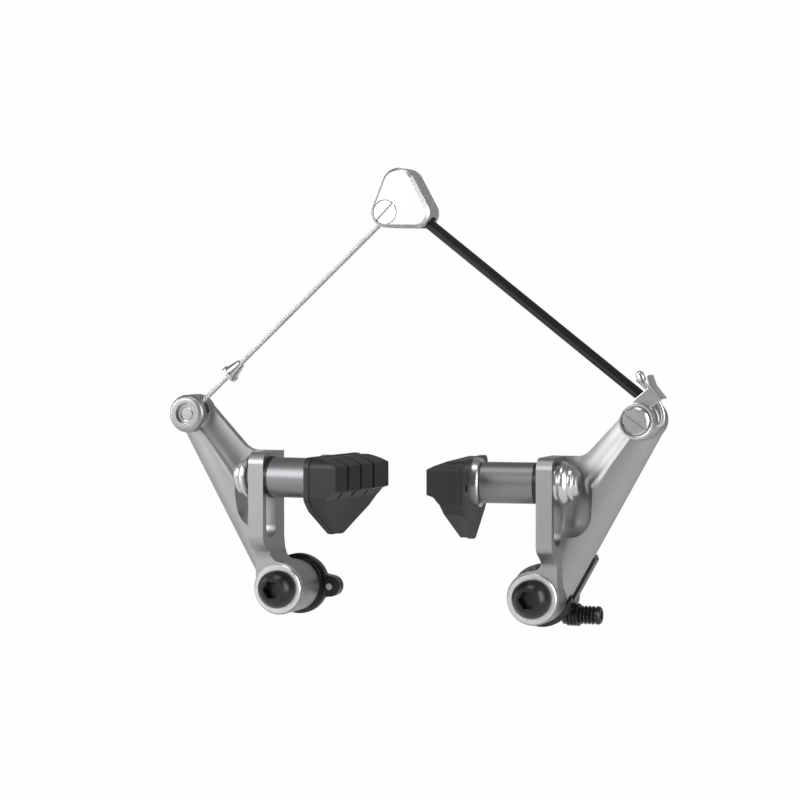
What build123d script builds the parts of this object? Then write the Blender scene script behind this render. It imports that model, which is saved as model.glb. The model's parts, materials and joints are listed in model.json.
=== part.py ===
from build123d import *
import math
import os

# Cantilever rim brake. Millimetres, +Z up, front towards -Y.
# The origin lies midway between the two frame studs, on the mounting plane.

# Mounting and pivots
pivot_spacing = 80.0
stud_radius = 3.0
stud_behind_plane = 0.7
sleeve_radius = 5.0
sleeve_bore = 4.2
sleeve_length = 20.3
front_washer_bore = 4.35
front_washer_thickness = 1.0
bolt_head_radius = 5.85
bolt_head_height = 4.4
bolt_head_rim = 1.0
bolt_face_radius = 3.6
bolt_socket_flats = 5.0
bolt_socket_depth = 3.0

# Named clearances
pivot_clearance = 0.05
face_gap = 0.02
ball_gap = 0.15
turning_gap = 0.3
thread_gap = 0.1

# Brake arm, measured outwards from its pivot
barrel_radius = 7.9
barrel_rear = -6.8
front_washer_radius = barrel_radius - 0.45
plate_inner = 2.6
plate_thickness = 4.8
plate_front = -26.0
plate_rear = -10.0
plate_top = 41.2
plate_corner_radius = 3.6
plate_edge_radius = 0.6
flare_radius = 8.0
neck_front_top = 14.2
neck_front_bottom = 10.6
neck_rear_top = 17.0
neck_rear_bottom = 9.2
slot_centre_y = -19.8
slot_width = 7.4
slot_low = 19.0
slot_high = 35.0
boss_out = 31.5
boss_height = 52.2
boss_radius = 5.8
boss_front = -18.5
boss_rear = -8.5
boss_ring_radius = 4.8
boss_ring_height = 1.2
boss_bore = 3.3
fin_front = -15.5
fin_rear = -9.5
fin_floor = -12.1
fin_band = 5.8
fin_upper_start = 13.2
fin_upper_fillet = 6.0
fin_edge_radius = 1.2
scoop_axis_y = -25.0

# Brake pad and its ball washers, measured along the post from the plate's middle
pad_height = 33.65
pad_toe = 6.0
post_radius = 3.0
post_washer_hole = 4.3
outer_ball_radius = 5.9
outer_dome_radius = 5.6
inner_dome_radius = 6.25
inner_dome_rim = 1.2
cup_radius = 6.5
cup_face = 5.9
cup_rim = 3.65
cup_bevel = 1.2
nut_flange_radius = 5.4
nut_flange_thickness = 1.5
nut_dome_radius = 4.0
nut_dome_height = 1.25
nut_socket_flats = 5.0
nut_socket_depth = 1.9
tube_radius = 6.02
tube_reach = 17.6
band_radius = 7.2
band_thickness = 2.3
backing_thickness = 1.9
backing_margin = 0.35
post_head_radius = 5.2
post_head_thickness = 1.8
pad_length = 37.0
pad_half_height = 7.5
pad_end_height = 6.2
pad_end_low = -5.8
pad_end_taper = 5.5
pad_face = 10.7
pad_face_half = 4.0
pad_shoulder = 5.7
pad_shoulder_height = 6.4
wing_shoulder = 14.5
wing_shoulder_drop = -8.0
wing_tip_drop = -15.0
wing_tip_half = 3.4
wing_tip_radius = 2.4
wing_tip_thickness = 2.2
groove_width = 1.0
groove_depth = 1.6
groove_spacing = 8.4
sight_hole_radius = 1.35

# Return springs, their covers and the tension screw
cover_radius = barrel_radius + 1.35
cover_step_radius = barrel_radius + 0.6
cover_groove_radius = barrel_radius + 0.05
cover_front = -6.5
cover_rear = -0.7
cover_wall = 1.0
lug_reach = 10.2
lug_drop = -0.6
lug_radius = 3.2
spring_pin_radius = 1.0
spring_pin_front = -4.9
spring_pin_depth = 3.0
spring_wire_radius = 0.6
spring_mean_radius = 6.4
spring_pitch = 1.3
spring_turns = 2.0
spring_plate_thickness = 0.8
adjuster_block_out = 9.9
adjuster_block_inner = -1.8
adjuster_block_bottom = -9.9
adjuster_block_top = 1.0
adjuster_height = -6.0
adjuster_y = -4.7
adjuster_block_front = -7.6
adjuster_tip = 7.4
adjuster_radius = 2.75
adjuster_core_radius = 2.0
adjuster_out = 16.4
adjuster_thread_end = 12.9
adjuster_thread_pitch = 0.85
adjuster_recess_flats = 2.5
adjuster_recess_depth = 1.6

# Link wire on the left
wire_radius = 0.775
wire_anchor_y = -14.5
wire_slot_width = 2.2
wire_slot_angle = 40.0
wire_pin_radius = 3.25
wire_pin_recess = 1.4
wire_cross_hole = 0.8
cone_from_anchor = 17.6
cone_length = 5.6
cone_base_radius = 2.7
cone_tip_radius = 1.25
cone_base_length = 1.3

# Link unit at the top
button_front = -24.0
button_parting = -20.6
button_rear = -14.0
button_top_x = -0.5
button_top_z = 120.4
button_top_radius = 5.2
button_left_x = -4.5
button_left_z = 112.6
button_left_radius = 4.45
button_right_x = 4.9
button_right_z = 112.3
button_right_radius = 4.35
button_bevel = 0.9
button_screw_radius = 3.45
button_screw_head = 1.9
button_screw_shank = 1.5
button_screw_slot = 0.9
nipple_radius = 2.5
nipple_length = 4.6
link_y = -18.0
hose_pivot_x = 4.9
hose_pivot_z = 111.3
cable_bore_radius = 1.25
cable_bore_depth = 10.5

# Link hose and the cable anchor on the right
hose_radius = 1.6
hose_bore = 1.2
hose_y = -18.8
hose_end_from_anchor = (0.2, 7.1)
hose_ferrule_radius = 2.0
hose_ferrule_length = 3.0
anchor_bolt_radius = 3.2
anchor_head_radius = 3.95
anchor_head_height = 2.2
anchor_nut_flats = 8.0
anchor_nut_height = 3.2
anchor_edge = 0.5
anchor_slot_width = 0.9
anchor_slot_depth = 0.6
anchor_slot_turn = 35.0
anchor_tip = 0.8
clip_thickness = 1.2
clip_lobe_radius = 5.2
clip_wing = [(5.0, -1.0), (7.4, 3.0), (8.5, 6.1), (2.0, 8.2), (-1.4, 6.2), (-4.2, 2.6)]
clip_tongue = [(1.0, 6.5), (4.2, 7.3), (2.6, 13.9), (0.6, 13.2)]
cable_radius = 0.75
cable_run = [(0.4, 6.1), (4.6, 1.6), (4.2, 8.0), (1.6, 10.4)]
cable_bend = 1.8


def turned_y(profile):
    """Solid of revolution about Y from (radius, y) points."""
    return revolve(Polygon(*profile, align=None), Axis.Y)


def turned_x(profile):
    """Solid of revolution about X from (x, radius) points."""
    return revolve(Polygon(*profile, align=None), Axis.X)


def rod_y(radius, y0, y1, x=0.0, z=0.0):
    """Round bar along Y."""
    return Pos(x, (y0 + y1) / 2, z) * Rot(90, 0, 0) * Cylinder(radius, y1 - y0)


def rod_x(radius, x0, x1, y=0.0, z=0.0):
    """Round bar along X."""
    return Pos((x0 + x1) / 2, y, z) * Rot(0, 90, 0) * Cylinder(radius, x1 - x0)


def tube_y(outer, inner, y0, y1, x=0.0, z=0.0):
    """Round tube along Y."""
    return rod_y(outer, y0, y1, x, z) - rod_y(inner, y0 - 1, y1 + 1, x, z)


def tube_x(outer, inner, x0, x1):
    """Round tube along X."""
    return rod_x(outer, x0, x1) - rod_x(inner, x0 - 1, x1 + 1)


def slab_y(outline, y0, y1):
    """Outline drawn in X and Z, given a depth along Y."""
    return extrude(Plane.XZ.offset(-y1) * outline, amount=y1 - y0, dir=(0, -1, 0))


def slab_x(outline, x0, x1):
    """Outline drawn in Y and Z, given a width along X."""
    return extrude(Plane.YZ.offset(x0) * outline, amount=x1 - x0, dir=(1, 0, 0))


def soften(outline, corners):
    """Round the corners (x, y, radius) of a flat outline."""
    for x, y, radius in corners:
        corner = outline.vertices().sort_by_distance((x, y))[0]
        outline = fillet(corner, radius)
    return outline


def between(start, end, radius):
    """Round bar from one point to another."""
    line = Line(start, end)
    return sweep(Plane(origin=line @ 0, z_dir=line % 0) * Circle(radius), path=line)


def far_tangent(x1, z1, r1, x2, z2, r2, side):
    """Touch points of the straight line that runs along two circles, on one side."""
    length = math.hypot(x2 - x1, z2 - z1)
    heading = math.atan2(z2 - z1, x2 - x1)
    normal = heading + side * math.acos((r1 - r2) / length)
    first = (x1 + r1 * math.cos(normal), z1 + r1 * math.sin(normal))
    second = (x2 + r2 * math.cos(normal), z2 + r2 * math.sin(normal))
    return first, second


def sided(part, side):
    """Put a piece drawn about the right pivot on its side, -1 for left."""
    if side < 0:
        part = mirror(part, about=Plane.YZ)
    return Pos(side * pivot_spacing / 2, 0, 0) * part


def along_post(part, side):
    """Put a piece drawn along +X from the plate's middle on its side's post."""
    turn = 180 + pad_toe if side > 0 else -pad_toe
    centre_x = side * (pivot_spacing / 2 + plate_inner + plate_thickness / 2)
    return Pos(centre_x, slot_centre_y, pad_height) * Rot(0, 0, turn) * part


def straight_carriage(part, side):
    """The same place without the toe, for washers that lie flat on the plate."""
    turn = 180 if side > 0 else 0
    centre_x = side * (pivot_spacing / 2 + plate_inner + plate_thickness / 2)
    return Pos(centre_x, slot_centre_y, pad_height) * Rot(0, 0, turn) * part


# Shared places
plate_outer = plate_inner + plate_thickness
plate_half = plate_thickness / 2
sleeve_front = -sleeve_length
washer_front = sleeve_front - front_washer_thickness
arm_bore = sleeve_radius + pivot_clearance
barrel_front = sleeve_front
edge_low, edge_high = far_tangent(0, 0, barrel_radius, boss_out, boss_height, boss_radius, -1)
band_angle = math.degrees(math.atan2(edge_high[1] - edge_low[1], edge_high[0] - edge_low[0]))
inner_ball_radius = math.hypot(plate_half + inner_dome_rim, inner_dome_radius)
tube_end = plate_half + tube_reach
pad_back = tube_end + band_thickness
rubber_back = pad_back + backing_thickness
left_anchor = (-(pivot_spacing / 2 + boss_out), boss_height)
right_anchor = (pivot_spacing / 2 + boss_out, boss_height)
hose_end_x = right_anchor[0] + hose_end_from_anchor[0]
hose_end_z = right_anchor[1] + hose_end_from_anchor[1]
clip_back = hose_y - hose_radius - turning_gap


# Mounting bolts, sleeves and front washers

def mounting_bolt():
    """Button-head bolt with a hexagon socket, its tip past the mounting plane."""
    rim_y = washer_front - bolt_head_rim
    face_y = washer_front - bolt_head_height
    rise = bolt_head_height - bolt_head_rim
    inset = (bolt_head_radius**2 - bolt_face_radius**2 - rise**2) / (2 * rise)
    dome_radius = math.hypot(bolt_head_radius, inset)
    head = rod_y(bolt_head_radius, face_y, rim_y) & (Pos(0, rim_y + inset, 0) * Sphere(dome_radius))
    head = head + rod_y(bolt_head_radius, rim_y, washer_front)
    socket = RegularPolygon(bolt_socket_flats / 2, 6, major_radius=False)
    head = head - slab_y(socket, face_y - 1, face_y + bolt_socket_depth)
    return head + rod_y(stud_radius, washer_front, stud_behind_plane)


def pivot_sleeve():
    """Plain bush that the arm turns on, clamped against the frame by the bolt."""
    return tube_y(sleeve_radius, sleeve_bore, sleeve_front, 0)


def front_washer():
    """Thin washer that keeps the arm on its sleeve."""
    washer = tube_y(front_washer_radius, front_washer_bore, washer_front, sleeve_front - face_gap)
    return chamfer(washer.edges().filter_by(GeomType.CIRCLE).group_by(Axis.Y)[0], 0.25)


# Brake arms

def arm_fin():
    """Broad web from the pivot barrel to the top boss, hollowed in front."""
    heading = math.radians(band_angle)
    reach = math.hypot(boss_out - fin_upper_start, boss_height - plate_top)
    rise = math.atan2(boss_height - plate_top, boss_out - fin_upper_start)
    rise = rise + math.asin(boss_radius / reach)
    run = math.sqrt(reach**2 - boss_radius**2)
    upper = (fin_upper_start + run * math.cos(rise), plate_top + run * math.sin(rise))
    outline = Polygon(
        (plate_inner, 0), edge_low, edge_high, (boss_out, boss_height), upper,
        (fin_upper_start, plate_top), (plate_inner, plate_top), align=None)
    outline = soften(outline, [(fin_upper_start, plate_top, fin_upper_fillet)])
    web = slab_y(outline, fin_front, fin_rear)
    along = web.edges().filter_by(Axis((0, 0, 0), (math.cos(heading), 0, math.sin(heading))))
    web = fillet(along, fin_edge_radius)
    depth = scoop_axis_y - fin_floor
    inward = fin_band + math.sqrt(depth**2 - (fin_front - scoop_axis_y)**2)
    scoop = rod_x(-depth, -20, 120, scoop_axis_y, inward)
    floor_height = 60
    floor = Pos(50, fin_floor - 10, inward + floor_height / 2) * Box(140, 20, floor_height)
    hollow = Pos(edge_low[0], 0, edge_low[1]) * Rot(0, -band_angle, 0) * (scoop + floor)
    return web - hollow


def arm_plate():
    """Upright plate with the slot that the pad post slides in."""
    outline = Polygon(
        (plate_front, neck_front_top), (barrel_front, neck_front_bottom), (barrel_front, 0),
        (-8, 0), (-8, neck_rear_bottom), (plate_rear, neck_rear_top), (plate_rear, plate_top),
        (plate_front, plate_top), align=None)
    outline = soften(outline, [
        (plate_front, plate_top, plate_corner_radius),
        (plate_front, neck_front_top, 1.5),
        (barrel_front, neck_front_bottom, 1.2),
        (plate_rear, neck_rear_top, 3.0)])
    plate = slab_x(outline, plate_inner, plate_outer)
    front = plate.faces().filter_by(Axis.Y).sort_by(Axis.Y)[0]
    plate = fillet(front.edges().filter_by(Axis.Z), plate_edge_radius)
    return plate


def arm_flare():
    """Concave sweep from the inner face of the plate down to the barrel."""
    centre_x = plate_inner - flare_radius
    centre_z = math.sqrt((barrel_radius + flare_radius)**2 - centre_x**2)
    touch = (centre_x * barrel_radius / (barrel_radius + flare_radius),
             centre_z * barrel_radius / (barrel_radius + flare_radius))
    corner = Polygon((plate_inner + 1, 0), (plate_inner + 1, centre_z), (plate_inner, centre_z),
                     touch, (0, 0), align=None)
    corner = corner - Pos(centre_x, centre_z) * Circle(flare_radius)
    return slab_y(corner, barrel_front, -8)


def arm(side):
    """One forged arm: barrel, slotted plate, web and top boss."""
    body = rod_y(barrel_radius, barrel_front, barrel_rear)
    body = body + arm_flare() + arm_plate() + arm_fin()
    ring_back = boss_front + boss_ring_height
    boss = turned_y([
        (0, boss_front), (boss_ring_radius, boss_front), (boss_ring_radius, ring_back),
        (boss_radius, ring_back + 0.6), (boss_radius, boss_rear), (0, boss_rear)])
    body = body + Pos(boss_out, 0, boss_height) * boss
    slot = Pos(slot_centre_y, (slot_low + slot_high) / 2) * SlotCenterToCenter(
        slot_high - slot_low, slot_width, rotation=90)
    body = body - slab_x(slot, plate_inner - 1, plate_outer + 1)
    body = body - rod_y(arm_bore, barrel_front - 1, barrel_rear + 1)
    body = body - rod_y(boss_bore, boss_front - 1, boss_rear + 1, boss_out, boss_height)
    if side < 0:
        body = body - wire_slot()
    return sided(body, side)


def wire_slot():
    """Fork in the left boss that the link wire swings in."""
    rise = math.atan2(button_left_z - boss_height, pivot_spacing / 2 + boss_out + button_left_x)
    middle = math.pi - rise
    swing = math.radians(wire_slot_angle)
    reach = 3 * boss_radius
    points = [(boss_out, boss_height)]
    for step in (-1, 0, 1):
        heading = middle + step * swing
        points.append((boss_out + reach * math.cos(heading), boss_height + reach * math.sin(heading)))
    wedge = Polygon(*points, align=None)
    half = wire_slot_width / 2
    return slab_y(wedge, wire_anchor_y - half, wire_anchor_y + half)


# Spring covers, springs and the tension screw

def spring_cover():
    """Left cover: a stepped black cup with a lug for the spring's fixed end."""
    profile = [
        (arm_bore, cover_front), (cover_step_radius, cover_front), (cover_step_radius, -5.2),
        (cover_groove_radius, -5.0), (cover_groove_radius, -4.4), (cover_radius, -4.2),
        (cover_radius, -2.4), (cover_step_radius + 0.3, -2.2), (cover_step_radius + 0.3, cover_rear),
        (arm_bore, cover_rear)]
    cup = turned_y(profile)
    lug = make_hull((Pos(-lug_reach, lug_drop) * Circle(lug_radius)).edges()
                    + (Pos(0, 0) * Circle(lug_radius + 1.5)).edges())
    cup = cup + slab_y(lug, -4.2, cover_rear)
    hollow = rod_y(spring_mean_radius + 2 * spring_wire_radius, cover_front + cover_wall, 1)
    cup = cup - hollow - rod_y(arm_bore, -20, 1)
    return cup - rod_y(spring_pin_radius, -10, 5, -lug_reach, lug_drop)


def spring_pin():
    """Steel peg that goes into the spring hole of the frame."""
    return rod_y(spring_pin_radius, spring_pin_front, spring_pin_depth, -lug_reach, lug_drop)


def spring_plate():
    """Right counterpart of the lug, a thin plate behind the housing."""
    front = cover_rear - spring_plate_thickness
    disc = make_hull((Pos(-lug_reach, lug_drop) * Circle(lug_radius)).edges()
                     + (Pos(0, 0) * Circle(cover_step_radius)).edges())
    plate = slab_y(disc, front, cover_rear) - rod_y(arm_bore, -20, 5)
    return plate + rod_y(spring_pin_radius, front, spring_pin_depth, -lug_reach, lug_drop)


def return_spring(rear):
    """Coil of wire about the sleeve."""
    height = spring_turns * spring_pitch
    path = Helix(spring_pitch, height, spring_mean_radius)
    section = Plane(origin=path @ 0, z_dir=path % 0) * RegularPolygon(spring_wire_radius, 8)
    coil = sweep(section, path=path, is_frenet=True)
    return Pos(0, rear - spring_wire_radius, 0) * Rot(90, 0, 0) * coil


def spring_housing():
    """Right housing: a black ribbed cup with the block that holds the tension screw."""
    rear = cover_rear - spring_plate_thickness - turning_gap
    running = sleeve_radius + turning_gap
    cup = turned_y([
        (running, barrel_rear), (cover_step_radius, barrel_rear), (cover_step_radius, -5.4),
        (cover_radius, -5.2), (cover_radius, rear), (running, rear)])
    middle_x = (adjuster_block_inner + adjuster_block_out) / 2
    middle_z = (adjuster_block_bottom + adjuster_block_top) / 2
    block = Pos(middle_x, (adjuster_block_front + rear) / 2, middle_z) * Box(
        adjuster_block_out - adjuster_block_inner, rear - adjuster_block_front,
        adjuster_block_top - adjuster_block_bottom)
    block = block - rod_y(barrel_radius + face_gap, -20, barrel_rear)
    housing = cup + block
    hollow = rod_y(spring_mean_radius + 2 * spring_wire_radius, barrel_rear + cover_wall, 1)
    housing = housing - hollow - rod_y(running, -20, 1)
    tapped = adjuster_core_radius + thread_gap
    return housing - rod_x(tapped, 5, adjuster_block_out + 1, adjuster_y, adjuster_height)


def adjusting_screw():
    """Black tension screw with a coarse thread and a hexagon recess."""
    profile = [(adjuster_tip, 0), (adjuster_tip, adjuster_core_radius)]
    start = adjuster_block_out + face_gap
    turns = int((adjuster_thread_end - start) / adjuster_thread_pitch)
    for turn in range(turns):
        left = start + turn * adjuster_thread_pitch
        profile.append((left, adjuster_core_radius))
        profile.append((left + adjuster_thread_pitch * 0.35, adjuster_radius))
        profile.append((left + adjuster_thread_pitch * 0.65, adjuster_radius))
    neck = start + turns * adjuster_thread_pitch
    profile += [
        (neck, adjuster_core_radius), (neck + 0.3, adjuster_core_radius),
        (neck + 0.5, adjuster_radius), (adjuster_out - 0.5, adjuster_radius),
        (adjuster_out, adjuster_radius - 0.5), (adjuster_out, 0)]
    screw = turned_x(profile)
    recess = RegularPolygon(adjuster_recess_flats / 2, 6, major_radius=False)
    screw = screw - slab_x(recess, adjuster_out - adjuster_recess_depth, adjuster_out + 1)
    return Pos(0, adjuster_y, adjuster_height) * screw


# Pad hardware, drawn along +X from the middle of the slotted plate

def outer_dome_washer():
    """Convex washer on the outer face of the plate."""
    blank = tube_x(outer_dome_radius, post_washer_hole, -outer_ball_radius, -plate_half - face_gap)
    return blank & Sphere(outer_ball_radius)


def inner_dome_washer():
    """Convex washer on the inner face of the plate."""
    blank = tube_x(inner_dome_radius, post_washer_hole, plate_half + face_gap, inner_ball_radius)
    return blank & Sphere(inner_ball_radius)


def cup_washer():
    """Concave washer that rocks on the outer dome."""
    hole = post_radius + turning_gap
    profile = [
        (-cup_face, hole), (-cup_rim, hole), (-cup_rim, cup_radius),
        (-cup_face + cup_bevel, cup_radius), (-cup_face, nut_flange_radius)]
    return turned_x(profile) - Sphere(outer_ball_radius + ball_gap)


def pad_nut():
    """Flanged nut with a domed top and a hexagon socket."""
    flange_end = -cup_face - nut_flange_thickness
    top = flange_end - nut_dome_height
    bore = post_radius + thread_gap
    profile = [
        (-cup_face - face_gap, 0), (-cup_face - face_gap, nut_flange_radius),
        (flange_end + 0.5, nut_flange_radius), (flange_end, nut_flange_radius - 0.5),
        (flange_end, nut_dome_radius), (top + 0.7, nut_dome_radius - 0.2),
        (top, nut_dome_radius - 0.9), (top, 0)]
    nut = turned_x(profile) - rod_x(bore, top - 1, 0)
    socket = RegularPolygon(nut_socket_flats / 2, 6, major_radius=False)
    socket = socket + Circle(bore)
    return nut - slab_x(socket, top - 1, top + nut_socket_depth)


def spacer_tube():
    """Grey tube between the plate and the pad, with a hollow ball seat."""
    tube = tube_x(tube_radius, post_radius + 0.2, plate_half, tube_end)
    tube = tube - Sphere(inner_ball_radius + ball_gap)
    rim = tube.edges().filter_by(GeomType.CIRCLE).group_by(Axis.X)[-1].sort_by(SortBy.RADIUS)[-1]
    return chamfer(rim, 0.3)


def pad_band():
    """Silver washer between the tube and the pad."""
    band = tube_x(band_radius, post_radius + pivot_clearance, tube_end + face_gap, pad_back)
    edge = band.edges().filter_by(GeomType.CIRCLE).group_by(Axis.X)[0].sort_by(SortBy.RADIUS)[-1]
    return chamfer(edge, 0.4)


def pad_post():
    """Threaded post with a flat head held in the rubber."""
    nut_inner = -cup_face - nut_flange_thickness + 0.7
    post = rod_x(post_radius, nut_inner, rubber_back)
    return post + rod_x(post_head_radius, rubber_back, rubber_back + post_head_thickness)


def pad_outline(margin):
    """Boat-shaped outline of the pad with its wing, seen from the rim."""
    half = pad_length / 2 + margin
    high = pad_half_height + margin
    end_high = pad_end_height + margin
    shoulder_out = wing_shoulder + margin
    shoulder = wing_shoulder_drop - margin
    tip = wing_tip_drop - margin
    outline = Polygon(
        (-half, end_high), (-half, pad_end_low), (-shoulder_out, shoulder),
        (-wing_tip_half, tip), (wing_tip_half, tip), (shoulder_out, shoulder),
        (half, pad_end_low), (half, end_high), (half - pad_end_taper, high),
        (-half + pad_end_taper, high), align=None)
    return soften(outline, [
        (-half, end_high, 1.6), (half, end_high, 1.6), (-half, pad_end_low, 1.6),
        (half, pad_end_low, 1.6), (-wing_tip_half, tip, wing_tip_radius),
        (wing_tip_half, tip, wing_tip_radius)])


def pad_backing():
    """Thin plate moulded into the back of the rubber."""
    plate = slab_x(pad_outline(backing_margin), pad_back, rubber_back)
    plate = plate - rod_x(post_radius + pivot_clearance, pad_back - 1, rubber_back + 1)
    return plate - rod_x(sight_hole_radius, pad_back - 1, rubber_back + 1, groove_spacing * 0.9, -1)


def pad_rubber():
    """Rubber block with sloping shoulders, three grooves and a pointed wing."""
    face = rubber_back - 0.1 + pad_face - backing_thickness
    section = Polygon(
        (rubber_back, pad_half_height + 1), (rubber_back, wing_tip_drop - 1),
        (rubber_back + wing_tip_thickness - 0.5, wing_tip_drop - 1),
        (rubber_back + 4.6, pad_end_low - 0.5), (face - 0.9, -pad_face_half),
        (face, -pad_face_half + 0.8), (face, pad_face_half - 0.6),
        (face - 0.8, pad_face_half + 0.3), (rubber_back + pad_shoulder - 1.9, pad_shoulder_height),
        (rubber_back + 0.8, pad_half_height + 0.3), align=None)
    half = pad_length / 2
    block = extrude(Plane.XZ.offset(-half) * section, amount=pad_length)
    block = block & slab_x(pad_outline(0), rubber_back, face + 1)
    ends = block.edges().filter_by(Axis.Z).group_by(Axis.X)[-1]
    block = fillet(ends, 1.4)
    for place in (-groove_spacing, 0, groove_spacing):
        groove = section - offset(section, -groove_depth)
        keep = Pos(face, 0) * Rectangle(2 * (pad_shoulder + 1.0), 3.0 * pad_face_half)
        groove = groove & keep
        cut = extrude(Plane.XZ.offset(-place - groove_width / 2) * groove, amount=groove_width)
        block = block - cut
    head = post_head_radius + pivot_clearance
    return block - rod_x(head, rubber_back - 1, rubber_back + post_head_thickness + pivot_clearance)


# Link wire

def on_wire(distance):
    """Point on the wire's axis at a distance from its anchor in the left arm."""
    start = Vector(left_anchor[0], wire_anchor_y, left_anchor[1])
    end = Vector(button_left_x, link_y, button_left_z)
    return start + (end - start).normalized() * distance


def wire_frame(distance):
    """Plane square to the wire at a distance from its anchor."""
    return Plane(origin=on_wire(distance), z_dir=on_wire(1) - on_wire(0))


wire_span = (on_wire(0) - Vector(button_left_x, link_y, button_left_z)).length


def link_wire():
    """Stranded wire from the left arm to the link unit."""
    start = wire_pin_radius - 1.2
    end = wire_span - nipple_radius + 1.0
    return between(on_wire(start), on_wire(end), wire_radius)


def wire_pin():
    """Round nipple that turns in the left boss."""
    pin = rod_y(wire_pin_radius, boss_front + wire_pin_recess, boss_rear, *left_anchor)
    pin = pin - link_wire()
    ring = rod_y(wire_pin_radius - 0.9, -30, boss_front + wire_pin_recess + 0.5, *left_anchor)
    ring = ring - rod_y(wire_pin_radius - 1.7, -31, 0, *left_anchor)
    return pin - ring


def cone_ferrule():
    """Small cone crimped on the wire."""
    profile = Polygon(
        (wire_radius, 0), (cone_base_radius, 0), (cone_base_radius, cone_base_length),
        (cone_tip_radius, cone_length), (wire_radius, cone_length), align=None)
    cone = revolve(Plane.XZ * profile, Axis.Z)
    return wire_frame(cone_from_anchor).location * cone


def upper_nipple():
    """Nipple on the wire's upper end, held by the screw of the link unit."""
    half = nipple_length / 2
    nipple = tube_y(nipple_radius, button_screw_shank + thread_gap, link_y - half, link_y + half,
                    button_left_x, button_left_z)
    return nipple - link_wire()


# Link unit

def button_outline(inset=0.0):
    """Rounded triangle of the link unit."""
    circles = (Pos(button_top_x, button_top_z) * Circle(button_top_radius - inset)).edges()
    circles += (Pos(button_left_x, button_left_z) * Circle(button_left_radius - inset)).edges()
    circles += (Pos(button_right_x, button_right_z) * Circle(button_right_radius - inset)).edges()
    return make_hull(circles)


def button_pockets():
    """Room for the nipple, the hose fitting and the swing of wire and hose."""
    half = nipple_length / 2 + turning_gap
    room = rod_y(nipple_radius + turning_gap, link_y - half, link_y + half,
                 button_left_x, button_left_z)
    room = room + rod_y(nipple_radius + turning_gap, hose_y - half, link_y + half,
                        hose_pivot_x, hose_pivot_z)
    for x, z, end_x, end_z, y, gap in (
            (button_left_x, button_left_z, left_anchor[0], left_anchor[1], link_y,
             wire_radius + turning_gap),
            (hose_pivot_x, hose_pivot_z, hose_end_x, hose_end_z, hose_y,
             hose_radius + turning_gap)):
        heading = math.atan2(end_z - z, end_x - x)
        points = []
        for distance, swing in ((0, -1), (12, -1), (12, 1), (0, 1)):
            side = gap + distance * math.tan(math.radians(7.5))
            points.append((
                x + distance * math.cos(heading) - swing * side * math.sin(heading),
                z + distance * math.sin(heading) + swing * side * math.cos(heading)))
        wedge = Polygon(*points, align=None)
        room = room + slab_y(wedge, y - gap - 0.2, y + gap + 0.2)
    return room


def button_front_shell():
    """Front cover with a polished bevel and the seat of its screw."""
    shell = slab_y(button_outline(), button_front, button_parting - face_gap)
    rim = shell.faces().filter_by(Axis.Y).sort_by(Axis.Y)[0].edges()
    shell = chamfer(rim, button_bevel)
    seat = button_front + button_screw_head
    shell = shell - rod_y(button_screw_radius + 0.25, button_front - 1, seat,
                          button_left_x, button_left_z)
    shell = shell - rod_y(button_screw_shank + thread_gap, button_front, 0,
                          button_left_x, button_left_z)
    return shell - button_pockets()


def button_rear_shell():
    """Rear body with the pockets and the entry for the main cable."""
    shell = slab_y(button_outline(), button_parting, button_rear)
    rim = shell.faces().filter_by(Axis.Y).sort_by(Axis.Y)[-1].edges()
    shell = fillet(rim, button_bevel)
    shell = shell - button_pockets()
    shell = shell - rod_y(button_screw_shank + thread_gap, -30, button_rear - 1.2,
                          button_left_x, button_left_z)
    top = button_top_z + button_top_radius
    entry_y = (button_parting + button_rear) / 2
    entry = Pos(button_top_x, entry_y, top - cable_bore_depth / 2 + 1) * Cylinder(
        cable_bore_radius, cable_bore_depth + 2)
    channel = between((button_top_x, entry_y, top - cable_bore_depth + 0.6),
                      (hose_pivot_x, link_y, hose_pivot_z), cable_radius + turning_gap)
    return shell - entry - channel


def button_screw():
    """Flush slotted screw that closes the link unit and carries the nipple."""
    seat = button_front + button_screw_head
    head = rod_y(button_screw_radius, button_front + 0.1, seat, button_left_x, button_left_z)
    shank = rod_y(button_screw_shank, seat, button_rear - 1.5, button_left_x, button_left_z)
    slot = Pos(button_left_x, button_front, button_left_z) * Rot(0, -45, 0) * Box(
        2 * button_screw_radius + 1, 1.6, button_screw_slot)
    return head + shank - slot


# Link hose and its ends

def hose_point(distance):
    """Point on the hose's axis at a distance from its pivot in the link unit."""
    start = Vector(hose_pivot_x, hose_y, hose_pivot_z)
    end = Vector(hose_end_x, hose_y, hose_end_z)
    return start + (end - start).normalized() * distance


hose_span = (hose_point(0) - Vector(hose_end_x, hose_y, hose_end_z)).length


def link_hose():
    """Black hose that spaces the link unit from the right arm."""
    start = hose_point(1.5)
    end = hose_point(hose_span)
    return between(start, end, hose_radius) - between(hose_point(1), hose_point(hose_span + 1), hose_bore)


def hose_fitting():
    """Round end fitting that turns in the link unit."""
    half = nipple_length / 2
    barrel = rod_y(nipple_radius, hose_y - 0.4 - half + 1.0, hose_y + half, hose_pivot_x, hose_pivot_z)
    barrel = barrel - between(hose_point(1.5), hose_point(8), hose_radius)
    return barrel - between(hose_point(-8), hose_point(4), hose_bore)


# Cable anchor on the right arm

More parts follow.
